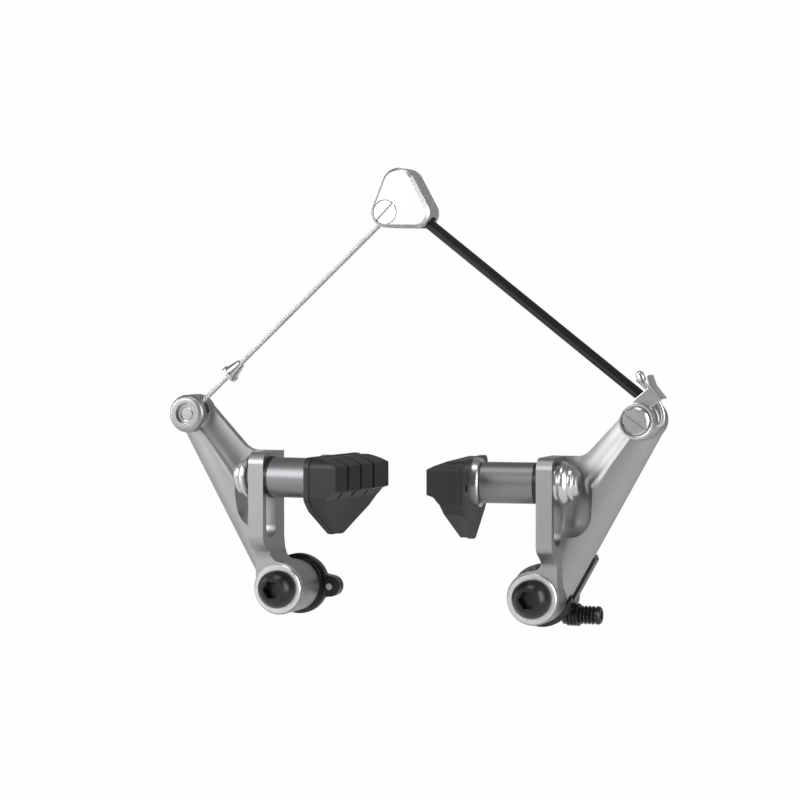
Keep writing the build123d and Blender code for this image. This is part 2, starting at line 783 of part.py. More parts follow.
def anchor_bolt():
    """Bolt whose head clamps the clip, free to turn in the right boss."""
    head_back = clip_back - clip_thickness
    front = head_back - anchor_head_height
    head = turned_y([
        (0, front), (anchor_head_radius - anchor_edge, front),
        (anchor_head_radius, front + anchor_edge), (anchor_head_radius, head_back), (0, head_back)])
    shank = rod_y(anchor_bolt_radius, head_back, boss_rear + anchor_nut_height + anchor_tip)
    slot = Pos(0, front, 0) * Rot(0, anchor_slot_turn, 0) * Box(
        2 * anchor_head_radius, 2 * anchor_slot_depth, anchor_slot_width)
    return Pos(right_anchor[0], 0, right_anchor[1]) * (head + shank - slot)


def anchor_nut():
    """Nut that holds the anchor bolt at the back of the boss."""
    hexagon = RegularPolygon(anchor_nut_flats / 2, 6, major_radius=False)
    start = boss_rear + turning_gap
    nut = slab_y(hexagon, start, start + anchor_nut_height)
    nut = nut - rod_y(anchor_bolt_radius + pivot_clearance, -20, 5)
    return Pos(right_anchor[0], 0, right_anchor[1]) * nut


def from_anchor(points):
    """Points given from the anchor bolt's axis, moved to their place."""
    return [(right_anchor[0] + x, right_anchor[1] + z) for x, z in points]


def anchor_clip():
    """Folded clip under the bolt head that traps the cable."""
    x, z = right_anchor
    lobe = Pos(x, z) * Circle(clip_lobe_radius)
    wing = Polygon((x, z), *from_anchor(clip_wing), align=None)
    tongue = Polygon(*from_anchor(clip_tongue), align=None)
    plate = slab_y(lobe + wing + tongue, clip_back - clip_thickness, clip_back)
    return plate - rod_y(anchor_bolt_radius + pivot_clearance, -40, 0, x, z)


def cable_tail():
    """Short end of the brake cable between the hose and its cap."""
    y = boss_front - turning_gap - cable_radius
    points = [(x, y, z) for x, z in from_anchor(cable_run)]
    run = FilletPolyline(*points, radius=cable_bend)
    return sweep(Plane(origin=run @ 0, z_dir=run % 0) * Circle(cable_radius), path=run)


# Every node and the piece that fills it
os.makedirs("parts", exist_ok=True)
nodes = {}
for name, side in (("left", -1), ("right", 1)):
    nodes[f"{name}_mounting_bolt"] = sided(mounting_bolt(), side)
    nodes[f"{name}_pivot_sleeve"] = sided(pivot_sleeve(), side)
    nodes[f"{name}_front_washer"] = sided(front_washer(), side)
    nodes[f"{name}_arm"] = arm(side)
    nodes[f"{name}_outer_dome_washer"] = straight_carriage(outer_dome_washer(), side)
    nodes[f"{name}_inner_dome_washer"] = straight_carriage(inner_dome_washer(), side)
    nodes[f"{name}_cup_washer"] = along_post(cup_washer(), side)
    nodes[f"{name}_pad_nut"] = along_post(pad_nut(), side)
    nodes[f"{name}_spacer_tube"] = along_post(spacer_tube(), side)
    nodes[f"{name}_pad_band"] = along_post(pad_band(), side)
    nodes[f"{name}_pad_post"] = along_post(pad_post(), side)
    nodes[f"{name}_pad_backing"] = along_post(pad_backing(), side)
    nodes[f"{name}_pad_rubber"] = along_post(pad_rubber(), side)
nodes["left_spring_cover"] = sided(spring_cover(), -1)
nodes["left_spring_pin"] = sided(spring_pin(), -1)
nodes["left_return_spring"] = sided(return_spring(cover_rear), -1)
nodes["right_spring_housing"] = sided(spring_housing(), 1)
nodes["right_spring_plate"] = sided(spring_plate(), 1)
nodes["right_return_spring"] = sided(
    return_spring(cover_rear - spring_plate_thickness - face_gap), 1)
nodes["spring_adjusting_screw"] = sided(adjusting_screw(), 1)
nodes["link_wire"] = link_wire()
nodes["wire_anchor_pin"] = wire_pin()
nodes["wire_cone_ferrule"] = cone_ferrule()
nodes["wire_upper_nipple"] = upper_nipple()
nodes["button_front_shell"] = button_front_shell()
nodes["button_rear_shell"] = button_rear_shell()
nodes["button_screw"] = button_screw()
nodes["link_hose"] = link_hose()
nodes["hose_end_fitting"] = hose_fitting()
nodes["anchor_bolt"] = anchor_bolt()
nodes["anchor_nut"] = anchor_nut()
nodes["anchor_clip"] = anchor_clip()
nodes["cable_tail"] = cable_tail()

for name, part in nodes.items():
    export_step(part, f"parts/{name}.step")
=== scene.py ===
import json
import math

import bmesh
import bpy
import numpy as np
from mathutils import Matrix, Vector


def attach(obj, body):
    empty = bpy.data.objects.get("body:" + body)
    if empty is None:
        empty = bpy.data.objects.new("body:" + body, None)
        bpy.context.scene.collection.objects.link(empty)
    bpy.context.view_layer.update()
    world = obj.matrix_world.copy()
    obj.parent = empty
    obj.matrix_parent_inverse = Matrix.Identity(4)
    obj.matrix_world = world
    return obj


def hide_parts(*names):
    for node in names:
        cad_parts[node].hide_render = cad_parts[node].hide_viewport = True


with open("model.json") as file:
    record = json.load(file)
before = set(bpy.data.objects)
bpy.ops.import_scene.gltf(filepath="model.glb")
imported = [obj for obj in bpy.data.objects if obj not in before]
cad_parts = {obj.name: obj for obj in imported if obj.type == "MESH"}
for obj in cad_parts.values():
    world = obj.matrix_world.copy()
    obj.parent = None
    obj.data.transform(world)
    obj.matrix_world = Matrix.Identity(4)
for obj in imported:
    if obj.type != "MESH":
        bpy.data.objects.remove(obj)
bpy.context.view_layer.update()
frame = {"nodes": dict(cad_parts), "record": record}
MM = 0.001

# Studio: the photograph's camera, a plain white floor that curves up into a backdrop, and four
# soft lamps. The backdrop shows white to the camera only and lights nothing.
CAMERA_AT = (0.25451, -0.72238, 0.08280)
CAMERA_TARGET = (-0.00186, -0.018, 0.058)
CAMERA_LENS = 113.89
CAMERA_SHIFT_UP = -0.00325
FLOOR_Z = -0.11
BACKDROP_HALF_WIDTH = 3.0
BACKDROP_TOP = 3.0
BACKDROP_BEND = 0.8
BACKDROP_NEAR = -2.5
BACKDROP_BEHIND = 1.2
BACKDROP_GLOW = 0.98
AIR_GLOW = 0.22


def put_camera():
    """Camera on the photograph's line of sight, level, with its small vertical shift."""
    data = bpy.data.cameras.new("camera")
    data.lens = CAMERA_LENS
    data.sensor_width = 36.0
    data.shift_y = CAMERA_SHIFT_UP
    data.clip_start = 0.01
    camera = bpy.data.objects.new("camera", data)
    aim = Vector(CAMERA_TARGET) - Vector(CAMERA_AT)
    camera.location = CAMERA_AT
    camera.rotation_euler = aim.to_track_quat("-Z", "Y").to_euler()
    bpy.context.scene.collection.objects.link(camera)
    bpy.context.scene.camera = camera


def soft_lamp(name, place, target, size, watts):
    """Square area lamp turned towards a point."""
    data = bpy.data.lights.new(name, "AREA")
    data.shape = "RECTANGLE"
    data.size, data.size_y = size
    data.energy = watts
    lamp = bpy.data.objects.new(name, data)
    lamp.location = place
    aim = Vector(target) - Vector(place)
    lamp.rotation_euler = aim.to_track_quat("-Z", "Y").to_euler()
    bpy.context.scene.collection.objects.link(lamp)


def nodes_of(material):
    """Node tree, shader and output of a fresh material."""
    material.use_nodes = True
    tree = material.node_tree
    return tree, tree.nodes["Principled BSDF"], tree.nodes["Material Output"]


def put_backdrop():
    """Flat floor, a quarter circle and an upright wall, carried across from side to side."""
    across = np.linspace(-BACKDROP_HALF_WIDTH, BACKDROP_HALF_WIDTH, 13)
    turn = np.linspace(0, math.pi / 2, 17)
    flat = np.array([(BACKDROP_NEAR, 0.0), (0.0, 0.0)])
    bend = BACKDROP_BEND * np.column_stack([np.sin(turn), 1 - np.cos(turn)])[1:]
    wall = np.array([(BACKDROP_BEND, BACKDROP_TOP)])
    line = np.vstack([flat, bend, wall]) + (BACKDROP_BEHIND, FLOOR_Z)
    x, y = np.meshgrid(across, line[:, 0])
    grid = np.stack([x, y, np.broadcast_to(line[:, 1:], x.shape)], -1)
    rows, columns = grid.shape[:2]
    index = np.arange(rows * columns).reshape(rows, columns)
    faces = np.stack([index[:-1, :-1], index[:-1, 1:], index[1:, 1:], index[1:, :-1]], -1)
    mesh = bpy.data.meshes.new("backdrop")
    mesh.from_pydata(grid.reshape(-1, 3).tolist(), [], faces.reshape(-1, 4).tolist())
    mesh.polygons.foreach_set("use_smooth", [True] * len(mesh.polygons))
    backdrop = bpy.data.objects.new("backdrop", mesh)
    bpy.context.scene.collection.objects.link(backdrop)
    material = bpy.data.materials.new("white_paper")
    tree, shader, output = nodes_of(material)
    shader.inputs["Base Color"].default_value = (0.9, 0.9, 0.9, 1)
    shader.inputs["Roughness"].default_value = 0.9
    glow = tree.nodes.new("ShaderNodeEmission")
    glow.inputs["Color"].default_value = (1, 1, 1, 1)
    path = tree.nodes.new("ShaderNodeLightPath")
    share = tree.nodes.new("ShaderNodeMath")
    share.operation = "MULTIPLY"
    share.inputs[1].default_value = BACKDROP_GLOW
    tree.links.new(path.outputs["Is Camera Ray"], share.inputs[0])
    mix = tree.nodes.new("ShaderNodeMixShader")
    tree.links.new(share.outputs[0], mix.inputs[0])
    tree.links.new(shader.outputs[0], mix.inputs[1])
    tree.links.new(glow.outputs[0], mix.inputs[2])
    tree.links.new(mix.outputs[0], output.inputs["Surface"])
    mesh.materials.append(material)


def put_world():
    """Dim even surroundings, so that the softboxes shape the metal."""
    world = bpy.data.worlds.new("surroundings")
    bpy.context.scene.world = world
    world.use_nodes = True
    back = world.node_tree.nodes["Background"]
    back.inputs["Color"].default_value = (1, 1, 1, 1)
    back.inputs["Strength"].default_value = AIR_GLOW


put_camera()
put_backdrop()
put_world()
soft_lamp("front_left", (-0.48, -0.78, 0.42), (-0.03, 0, 0.04), (0.45, 0.6), 4.6)
soft_lamp("left", (-0.95, -0.22, 0.25), (-0.04, 0, 0.04), (0.4, 0.8), 4.5)
soft_lamp("right", (0.88, -0.28, 0.28), (0.05, 0, 0.03), (0.35, 0.8), 5.0)
soft_lamp("top", (0.0, -0.25, 0.95), (0, 0, 0.05), (0.5, 0.3), 1.5)
bpy.context.scene.view_settings.view_transform = "Standard"

# Finishes: blasted aluminium, black oxide, bright plating, black mouldings and rubber. The black
# oxide's colour on the inner dome washer is painted shade. Each is one shader with a fine grain in
# its bump and a faint mottle in its gloss and colour.
COLOUR_A, COLOUR_B, COLOUR_RESULT = 6, 7, 2
GRAIN_DEPTH = 0.00005
COAT_ROUGHNESS = 0.12
BROAD_SCALE = 90


def grain_group():
    """Fine isotropic grain: a height and a faint colour mask."""
    group = bpy.data.node_groups.new("fine_grain", "ShaderNodeTree")
    group.interface.new_socket("Scale", in_out="INPUT", socket_type="NodeSocketFloat")
    group.interface.new_socket("Height", in_out="OUTPUT", socket_type="NodeSocketFloat")
    group.interface.new_socket("Mottle", in_out="OUTPUT", socket_type="NodeSocketFloat")
    entry = group.nodes.new("NodeGroupInput")
    leave = group.nodes.new("NodeGroupOutput")
    where = group.nodes.new("ShaderNodeTexCoord")
    fine = group.nodes.new("ShaderNodeTexNoise")
    fine.inputs["Detail"].default_value = 3
    broad = group.nodes.new("ShaderNodeTexNoise")
    broad.inputs["Scale"].default_value = BROAD_SCALE
    broad.inputs["Detail"].default_value = 2
    group.links.new(where.outputs["Object"], fine.inputs["Vector"])
    group.links.new(where.outputs["Object"], broad.inputs["Vector"])
    group.links.new(entry.outputs["Scale"], fine.inputs["Scale"])
    group.links.new(fine.outputs["Fac"], leave.inputs["Height"])
    group.links.new(broad.outputs["Fac"], leave.inputs["Mottle"])
    return group


GRAIN = grain_group()


def surface_finish(name, colour, metallic, roughness, grain_scale=3000, grain_bump=0.05,
                   mottle=0.06, coat=0.0):
    """Principled shader: roughness swings by the mottle, colour by six parts in a hundred."""
    material = bpy.data.materials.new(name)
    tree, shader, _ = nodes_of(material)
    shader.inputs["Metallic"].default_value = metallic
    shader.inputs["Coat Weight"].default_value = coat
    shader.inputs["Coat Roughness"].default_value = COAT_ROUGHNESS
    grain = tree.nodes.new("ShaderNodeGroup")
    grain.node_tree = GRAIN
    grain.inputs["Scale"].default_value = grain_scale
    spread = tree.nodes.new("ShaderNodeMapRange")
    spread.inputs["To Min"].default_value = roughness - mottle
    spread.inputs["To Max"].default_value = roughness + mottle
    tree.links.new(grain.outputs["Mottle"], spread.inputs["Value"])
    tree.links.new(spread.outputs["Result"], shader.inputs["Roughness"])
    tint = tree.nodes.new("ShaderNodeMix")
    tint.data_type = "RGBA"
    tint.inputs[COLOUR_A].default_value = (*[c * 0.94 for c in colour], 1)
    tint.inputs[COLOUR_B].default_value = (*[min(c * 1.06, 1) for c in colour], 1)
    tree.links.new(grain.outputs["Mottle"], tint.inputs["Factor"])
    tree.links.new(tint.outputs[COLOUR_RESULT], shader.inputs["Base Color"])
    bump = tree.nodes.new("ShaderNodeBump")
    bump.inputs["Strength"].default_value = grain_bump
    bump.inputs["Distance"].default_value = GRAIN_DEPTH
    tree.links.new(grain.outputs["Height"], bump.inputs["Height"])
    tree.links.new(bump.outputs["Normal"], shader.inputs["Normal"])
    return material


blasted = surface_finish("blasted_aluminium", (0.40, 0.40, 0.41), 1.0, 0.42, mottle=0.03)
# Black oxide for the bolts. The same black on the inner dome washer is painted shade: it stands
# for the dark crescent of shade between the slotted plate and the spacer tube.
black_bolt_and_painted_shade = surface_finish("black_bolt_and_painted_shade", (0.008, 0.008, 0.008), 0.0, 0.32, grain_bump=0.08,
                            coat=0.05)
bright_washer = surface_finish("bright_washer", (0.78, 0.78, 0.79), 1.0, 0.3)
plated = surface_finish("plated_steel", (0.66, 0.66, 0.67), 1.0, 0.27)
black_moulding = surface_finish("black_moulding", (0.012, 0.012, 0.012), 0.0, 0.22)
rubber = surface_finish("pad_rubber", (0.011, 0.011, 0.0115), 0.0, 0.46, grain_scale=1500,
                        grain_bump=0.15)
backing = surface_finish("pad_backing", (0.014, 0.014, 0.0145), 0.0, 0.42)
grey_tube = surface_finish("grey_tube", (0.27, 0.27, 0.28), 1.0, 0.42, mottle=0.02)
unit_satin = surface_finish("unit_satin", (0.62, 0.62, 0.63), 1.0, 0.36)
hose_black = surface_finish("hose_black", (0.01, 0.01, 0.01), 0.0, 0.2)
wire_steel = surface_finish("wire_steel", (0.6, 0.6, 0.61), 1.0, 0.3)

# Bolts, bushes, springs, spacer tubes, link unit and other turned or moulded pieces: these are
# the imported solids, with doubles merged, the link unit's wide edges bevelled and smooth between
# real edges.
FINISHES = {
    "bolt_black": black_bolt_and_painted_shade, "washer_bright": bright_washer, "bush_steel": plated,
    "spring_steel": plated, "black_plastic": black_moulding, "washer_silver": plated,
    # The inner washer's black is painted shade for the dark crescent between the plate and the
    # tube.
    "inner_washer_black": black_bolt_and_painted_shade, "tube_grey": grey_tube, "unit_aluminium": unit_satin,
    "bright_steel": plated}
BEVELS = {"unit_aluminium": 0.1}
SHAPED = {f"{side}_{piece}" for side in ("left", "right") for piece in (
    "outer_dome_washer", "cup_washer", "pad_nut", "pad_rubber", "pad_backing", "arm")}
SHAPED |= {"right_spring_housing", "spring_adjusting_screw", "link_wire", "wire_cone_ferrule",
           "anchor_clip", "cable_tail", "link_hose"}
BODY_OF = {node: body for body, members in frame["record"]["behaviour"]["bodies"].items()
           for node in members}
SLOT_OF = {entry["node"]: entry["material_slot"] for entry in frame["record"]["subparts"]}
MERGE = 2e-6
SHARP = math.radians(35)
CREASE = 28.0


def eased(work, width):
    """Bevel of two segments along each edge whose faces turn by more than 35 degrees."""
    sharp = [edge for edge in work.edges if edge.calc_face_angle(0) > SHARP]
    bmesh.ops.bevel(work, geom=sharp, offset=width * MM, segments=2, profile=0.5,
                    affect="EDGES", clamp_overlap=True)


def shown(name, mesh, work, node, material, crease, flat, lone=0.0):
    """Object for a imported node, smooth where faces turn by less than the crease in degrees."""
    for face in work.faces:
        face.smooth = True
    for edge in work.edges:
        edge.smooth = edge.calc_face_angle(lone) < math.radians(crease)
    work.to_mesh(mesh)
    work.free()
    mesh.materials.clear()
    mesh.materials.append(material)
    piece = bpy.data.objects.new(name, mesh)
    bpy.context.scene.collection.objects.link(piece)
    if flat:
        piece.modifiers.new("flat_faces", "WEIGHTED_NORMAL").keep_sharp = True
    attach(piece, BODY_OF[node])
    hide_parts(node)
    return piece


def carved(node, material, bevel):
    """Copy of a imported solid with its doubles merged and, if asked, its edges eased."""
    mesh = frame["nodes"][node].data.copy()
    work = bmesh.new()
    work.from_mesh(mesh)
    bmesh.ops.remove_doubles(work, verts=work.verts, dist=MERGE)
    if bevel:
        bmesh.ops.dissolve_limit(work, angle_limit=math.radians(1), verts=work.verts,
                                 edges=work.edges)
        eased(work, bevel)
    shown(f"{node}_piece", mesh, work, node, material, CREASE, bevel > 0, lone=math.pi)


for node_name in frame["nodes"]:
    if node_name not in SHAPED:
        slot_name = SLOT_OF[node_name]
        carved(node_name, FINISHES[slot_name], BEVELS.get(slot_name, 0.0))

# Link wire: bright steel rope of eight strands wound about a core, from the left boss to the
# link unit, with a small crimped cone. A strand is a helix: its angle grows evenly along it.
WIRE_FOOT = np.array((-71.5, -14.5, 52.2))
WIRE_HEAD = np.array((-4.5, -18.0, 112.6))
WIRE_START = 2.1
WIRE_SHORT = 1.5
WIRE_STEP = 0.5
WIRE_PITCH = 8.0
STRANDS = 8
CORE_RADIUS = 0.5
STRAND_RADIUS = 0.22
LAY_RADIUS = 0.555
CONE_RUN = (17.6, 17.7, 18.8, 18.95, 20.0, 23.1, 23.25)
CONE_RADII = (2.45, 2.7, 2.7, 2.35, 2.0, 1.3, 1.1)


def shaped(name, verts, faces, node, material, crease=35.0, bevel=0.0):
    """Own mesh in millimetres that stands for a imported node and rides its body."""
    mesh = bpy.data.meshes.new(name)
    mesh.from_pydata((np.asarray(verts) * MM).tolist(), [], faces)
    work = bmesh.new()
    work.from_mesh(mesh)
    bmesh.ops.recalc_face_normals(work, faces=work.faces)
    if bevel:
        eased(work, bevel)
    return shown(name, mesh, work, node, material, crease, bevel > 0)


def tube_mesh(points, radii, sides=16):
    """Rings square to a run of points, carried along without twist, closed at both ends."""
    points = np.asarray(points, float)
    radii = np.broadcast_to(radii, len(points))
    ahead = np.gradient(points, axis=0)
    ahead /= np.linalg.norm(ahead, axis=1)[:, None]
    side = np.cross(ahead[0], (0, 1, 0))
    turn = np.linspace(0, 2 * math.pi, sides, endpoint=False)
    verts = []
    for point, radius, way in zip(points, radii, ahead):
        side = side - way * side.dot(way)
        side /= np.linalg.norm(side)
        other = np.cross(way, side)
        ring = np.outer(np.cos(turn), side) + np.outer(np.sin(turn), other)
        verts.append(point + radius * ring)
    index = np.arange(len(points) * sides).reshape(len(points), sides)
    after = np.roll(index, -1, axis=1)
    faces = np.stack([index[:-1], after[:-1], after[1:], index[1:]], -1).reshape(-1, 4).tolist()
    faces += [index[0][::-1].tolist(), index[-1].tolist()]
    return np.vstack(verts), faces


def joined(parts):
    """Several (verts, faces) pairs as one."""
    verts, faces = [], []
    for more, sides in parts:
        first = sum(len(v) for v in verts)
        verts.append(np.asarray(more, float))
        faces += [[corner + first for corner in face] for face in sides]
    return np.vstack(verts), faces


wire_span = np.linalg.norm(WIRE_HEAD - WIRE_FOOT)
wire_way = (WIRE_HEAD - WIRE_FOOT) / wire_span
wire_run = np.arange(WIRE_START, wire_span - WIRE_SHORT, WIRE_STEP)
wire_line = WIRE_FOOT + wire_run[:, None] * wire_way
across_wire = np.cross(wire_way, (0, 1, 0))
over_wire = np.cross(wire_way, across_wire)
strands = [tube_mesh(wire_line, CORE_RADIUS, 12)]
for strand in range(STRANDS):
    angle = 2 * math.pi * (wire_run / WIRE_PITCH + strand / STRANDS)
    offset = np.outer(np.cos(angle), across_wire) + np.outer(np.sin(angle), over_wire)
    strands.append(tube_mesh(wire_line + LAY_RADIUS * offset, STRAND_RADIUS, 6))
wire_piece = shaped("link_wire_strands", *joined(strands), "link_wire", wire_steel, 70)
cone_line = WIRE_FOOT + np.array(CONE_RUN)[:, None] * wire_way
shaped("wire_cone", *tube_mesh(cone_line, np.array(CONE_RADII), 40), "wire_cone_ferrule", plated,
       25)

# Link hose: smooth black plastic, straight from the link unit to the clip. It starts a little
# inside the unit, on its end fitting, and ends before the clip.
HOSE_FOOT = np.array((71.7, -18.8, 59.3))
HOSE_HEAD = np.array((4.9, -18.8, 111.3))
HOSE_START = 1.5
HOSE_RADIUS = 1.6
hose_span = np.linalg.norm(HOSE_FOOT - HOSE_HEAD)
hose_way = (HOSE_FOOT - HOSE_HEAD) / hose_span
hose_run = np.linspace(HOSE_START, hose_span, 30)
hose_line = HOSE_HEAD + hose_run[:, None] * hose_way
hose_piece = shaped("link_hose_tube", *tube_mesh(hose_line, HOSE_RADIUS, 32), "link_hose",
                    hose_black, 40)

# Cable clip: plated steel, a flat leaf with a raised collar about the bolt head and a folded
# flange. The short end of the cable loops round the bolt under it and ends in a crimped cap.
ANCHOR = np.array((71.5, 52.2))
COLLAR_RADIUS = 5.3
COLLAR_BORE = 4.35
COLLAR_FRONT, COLLAR_REAR = -23.0, -21.7
LEAF_FRONT, LEAF_REAR = -21.9, -20.7
LEAF_WING = [(3.57, 3.93), (4.8, 4.3), (7.3, 6.4), (3.3, 9.7), (-0.75, 6.3)]
FLANGE_FRONT, FLANGE_REAR = -21.85, -16.0
FLANGE = [(6.4, 6.2), (7.4, 6.4), (4.3, 10.2), (3.2, 13.2), (2.5, 12.9), (3.4, 9.8)]
CLIP_BEVEL = 0.22
CABLE_Y = -19.6
CABLE_RADIUS = 0.75
CABLE_RUN = [(0.95, 6.5), (3.75, 2.9), (4.3, -1.3), (7.0, -0.9), (7.0, 3.6), (2.4, 9.5),
             (-0.4, 12.0)]
CAP_START = (1.0, 11.2)
CAP_WAY = np.array((-0.4, 0, 0.917))
CAP_RUN = np.array((0, 0.15, 2.3, 2.8, 3.1, 3.25))
CAP_RADII = np.array((1.0, 1.2, 1.2, 1.0, 0.65, 0.2))


def arc(centre, radius, start, stop, steps=16):
    """Centre plus radius times the cosine and sine of a turn that runs evenly, in degrees."""
    turn = np.radians(np.linspace(start, stop, steps))
    ring = np.column_stack([np.cos(turn), np.sin(turn)])
    return (np.array(centre) + radius * ring).tolist()


def between_planes(outline, axis, low, high):
    """Outline given a depth along an axis: X takes (y, z) points and Y takes (x, z) points."""
    count = len(outline)
    both = np.tile(np.asarray(outline, float), (2, 1))
    level = np.repeat((float(low), float(high)), count)
    columns = (both[:, 0], level, both[:, 1]) if axis == "Y" else (level, both[:, 0], both[:, 1])
    here = np.arange(count)
    after = np.roll(here, -1)
    faces = [here.tolist(), (here[::-1] + count).tolist()]
    faces += np.stack([here, after, after + count, here + count], -1).tolist()
    return np.column_stack(columns), faces


def turned_about_y(profile, centre=(0, 0), sides=96):
    """Closed loop of (radius, y) points turned about Y: radius times cosine and sine, and y."""
    radius, level = np.array(profile, float).T[:, :, None]
    turn = np.linspace(0, 2 * math.pi, sides, endpoint=False)
    x = centre[0] + radius * np.cos(turn)
    z = centre[1] + radius * np.sin(turn)
    index = np.arange(x.size).reshape(x.shape)
    beyond = np.roll(index, -1, axis=0)
    faces = np.stack([index, np.roll(index, -1, axis=1), np.roll(beyond, -1, axis=1), beyond], -1)
    verts = np.stack([x, np.broadcast_to(level, x.shape), z], -1)
    return verts.reshape(-1, 3), faces.reshape(-1, 4).tolist()


def smoothed(points, rounds=3):
    """Corner cutting: each round puts two points on every side, a quarter in from its ends."""
    points = np.asarray(points, float)
    for _ in range(rounds):
        near = 0.75 * points[:-1] + 0.25 * points[1:]
        far = 0.25 * points[:-1] + 0.75 * points[1:]
        middle = np.stack([near, far], 1).reshape(-1, points.shape[1])
        points = np.vstack([points[:1], middle, points[-1:]])
    return points


leaf = arc((0, 0), COLLAR_RADIUS, 110, 398, 33) + LEAF_WING
clip_collar = [(COLLAR_BORE, COLLAR_REAR), (COLLAR_RADIUS, COLLAR_REAR),
               (COLLAR_RADIUS, COLLAR_FRONT), (COLLAR_BORE, COLLAR_FRONT)]
clip_parts = joined([between_planes(leaf + ANCHOR, "Y", LEAF_FRONT, LEAF_REAR),
                     between_planes(FLANGE + ANCHOR, "Y", FLANGE_FRONT, FLANGE_REAR),
                     turned_about_y(clip_collar, ANCHOR, 64)])
shaped("folded_clip", *clip_parts, "anchor_clip", plated, 35, bevel=CLIP_BEVEL)
cable_run = smoothed(CABLE_RUN + ANCHOR)
cable_line = np.insert(cable_run, 1, CABLE_Y, axis=1)
cap_start = np.array((ANCHOR[0] + CAP_START[0], CABLE_Y, ANCHOR[1] + CAP_START[1]))
cable_parts = joined([tube_mesh(cable_line, CABLE_RADIUS, 14),
                      tube_mesh(cap_start + CAP_RUN[:, None] * CAP_WAY, CAP_RADII, 24)])
shaped("cable_end", *cable_parts, "cable_tail", plated, 40)

# Arms: forged and blasted aluminium, each a web from the barrel to the top boss, an upright
# slotted plate and a rounded boss. The web's front rolls back to its outer edge in one arc, and
# a hollow lies beside the band: a convex arc, then a concave arc, then a flat floor.
STUD_OUT = 40
BARREL = 7.9
BARREL_FRONT, BARREL_REAR = -20.3, -6.8
BUSH_BORE = 5.05
BOSS = (31.5, 52.2)
BOSS_RADIUS = 5.8
BOSS_ROUND = 1.7
BOSS_FRONT, BOSS_REAR = -18.5, -8.5
BOSS_BORE = 3.3
PLATE = (2.6, 7.4)
PLATE_CORNERS = [((-26, 14.2), 3.5), ((-20.3, 10.6), 3.5), ((-20.3, 0), 0), ((-8, 0), 0),
                 ((-8, 9.2), 0), ((-10, 17), 3.0), ((-10, 41.2), 1.5), ((-26, 41.2), 3.6)]
UPPER = (13.2, 41.2)
UPPER_ROUND = 6.0
WEB_FRONT, WEB_REAR = -15.5, -9.5
ROLL_RADIUS = 11.1
ARM_BEVEL = 0.4
ROLL_Y = -4.4
ROLL_WIDTH = 9.0
ROLL_PAST = -1.9
HOLLOW_DEPTH = 3.1
HOLLOW_FLOOR = -12.4
BAND_ROUND = 4
FLOOR_ROUND = 9
SCOOP_LOW, SCOOP_HIGH = (10.2, 22.3), (27.2, 44.0)
NECK_INNER = 3.2
NECK_CENTRE = (-0.4, 10.89)
NECK_ROUND = 3.0
POST_Y = -19.8
SLOT_LOW, SLOT_HIGH = 19, 35
SLOT_RADIUS = 3.7
PATH_OUT = 10.2
PATH_RADIUS = 7.6
PATH_LOW, PATH_HIGH = 23.8, 45.0
FORK_REACH = 17.4
FORK_FRONT, FORK_REAR = -15.6, -13.4
BEFORE_ALL = -24
AXIS_GAP = 0.01
length = math.hypot(*BOSS)
lean = math.atan2(BOSS[1], BOSS[0]) - math.acos((BARREL - BOSS_RADIUS) / length)
edge_low = (BARREL * math.cos(lean), BARREL * math.sin(lean))
edge_high = (BOSS[0] + BOSS_RADIUS * math.cos(lean), BOSS[1] + BOSS_RADIUS * math.sin(lean))
edge_way = math.atan2(edge_high[1] - edge_low[1], edge_high[0] - edge_low[0])
scoop_way = math.atan2(SCOOP_HIGH[1] - SCOOP_LOW[1], SCOOP_HIGH[0] - SCOOP_LOW[0])


def along(shape, way, start):
    """Points (run, y, inward) laid beside a line: run goes along it, inward square to it."""
    (u, y, w), faces = shape[0].T, shape[1]
    x = start[0] + u * math.cos(way) - w * math.sin(way)
    z = start[1] + u * math.sin(way) + w * math.cos(way)
    return np.column_stack([x, y, z]), faces


def solid(name, verts, faces, side):
    """Closed mesh object from an arm's own millimetres, mirrored to its side, in metres."""
    verts = np.asarray(verts, float) * (side, 1, 1) + (STUD_OUT * side, 0, 0)
    mesh = bpy.data.meshes.new(name)
    mesh.from_pydata((verts * MM).tolist(), [], faces)
    work = bmesh.new()
    work.from_mesh(mesh)
    bmesh.ops.recalc_face_normals(work, faces=work.faces)
    work.to_mesh(mesh)
    work.free()
    thing = bpy.data.objects.new(name, mesh)
    bpy.context.scene.collection.objects.link(thing)
    return thing


def combined(base, tools=()):
    """Mesh of a solid with others added or cut away in turn; the objects are removed."""
    for tool, operation in tools:
        step = base.modifiers.new(tool.name, "BOOLEAN")
        step.operation = operation
        step.solver = "EXACT"
        step.object = tool
    bpy.context.view_layer.update()
    graph = bpy.context.evaluated_depsgraph_get()
    mesh = bpy.data.meshes.new_from_object(base.evaluated_get(graph))
    for thing in [base] + [tool for tool, _ in tools]:
        bpy.data.objects.remove(thing)
    return mesh


def finished(mesh, node, material, bevel):
    """Computed solid merged, its flat faces joined, its edges eased, standing for a node."""
    work = bmesh.new()
    work.from_mesh(mesh)
    bmesh.ops.remove_doubles(work, verts=work.verts, dist=MERGE)
    bmesh.ops.dissolve_limit(work, angle_limit=math.radians(0.5), verts=work.verts,
                             edges=work.edges)
    eased(work, bevel)
    shown(f"{node}_form", mesh, work, node, material, CREASE, True)


